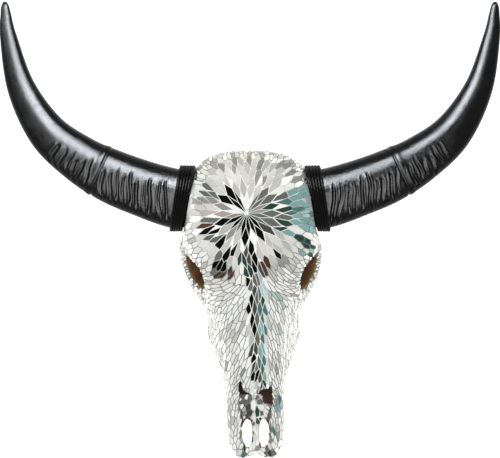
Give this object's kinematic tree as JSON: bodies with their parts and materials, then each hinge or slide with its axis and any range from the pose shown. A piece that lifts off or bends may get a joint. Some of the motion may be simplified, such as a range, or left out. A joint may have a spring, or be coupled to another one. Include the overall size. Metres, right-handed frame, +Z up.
{
  "type": "mosaic buffalo skull",
  "caption": "Water buffalo skull with black horns, clad in a mosaic of mirror tiles that radiate from the forehead, with cord wound round the horn roots, lying on its teeth.",
  "frame": {"origin": "the middle of the bounding box in X and Y, at the level that the teeth rest on", "axes": "+X to the side of one horn tip, +Y from the muzzle towards the back of the head and the horn tips, +Z up out of the forehead"},
  "size_m": [0.8228, 0.7583, 0.1832],
  "materials": {
    "mosaic_bone": "bone under flat mirror tiles with pale grout",
    "horn": "polished black horn",
    "cord": "waxed black cord"
  },
  "bodies": {
    "root": {"cranium": "mosaic_bone", "face": "mosaic_bone", "nasal_bones": "mosaic_bone", "premaxilla_left": "mosaic_bone", "premaxilla_right": "mosaic_bone", "horn_left": "horn", "horn_right": "horn", "binding_left": "cord", "binding_right": "cord"}
  },
  "joints": []
}
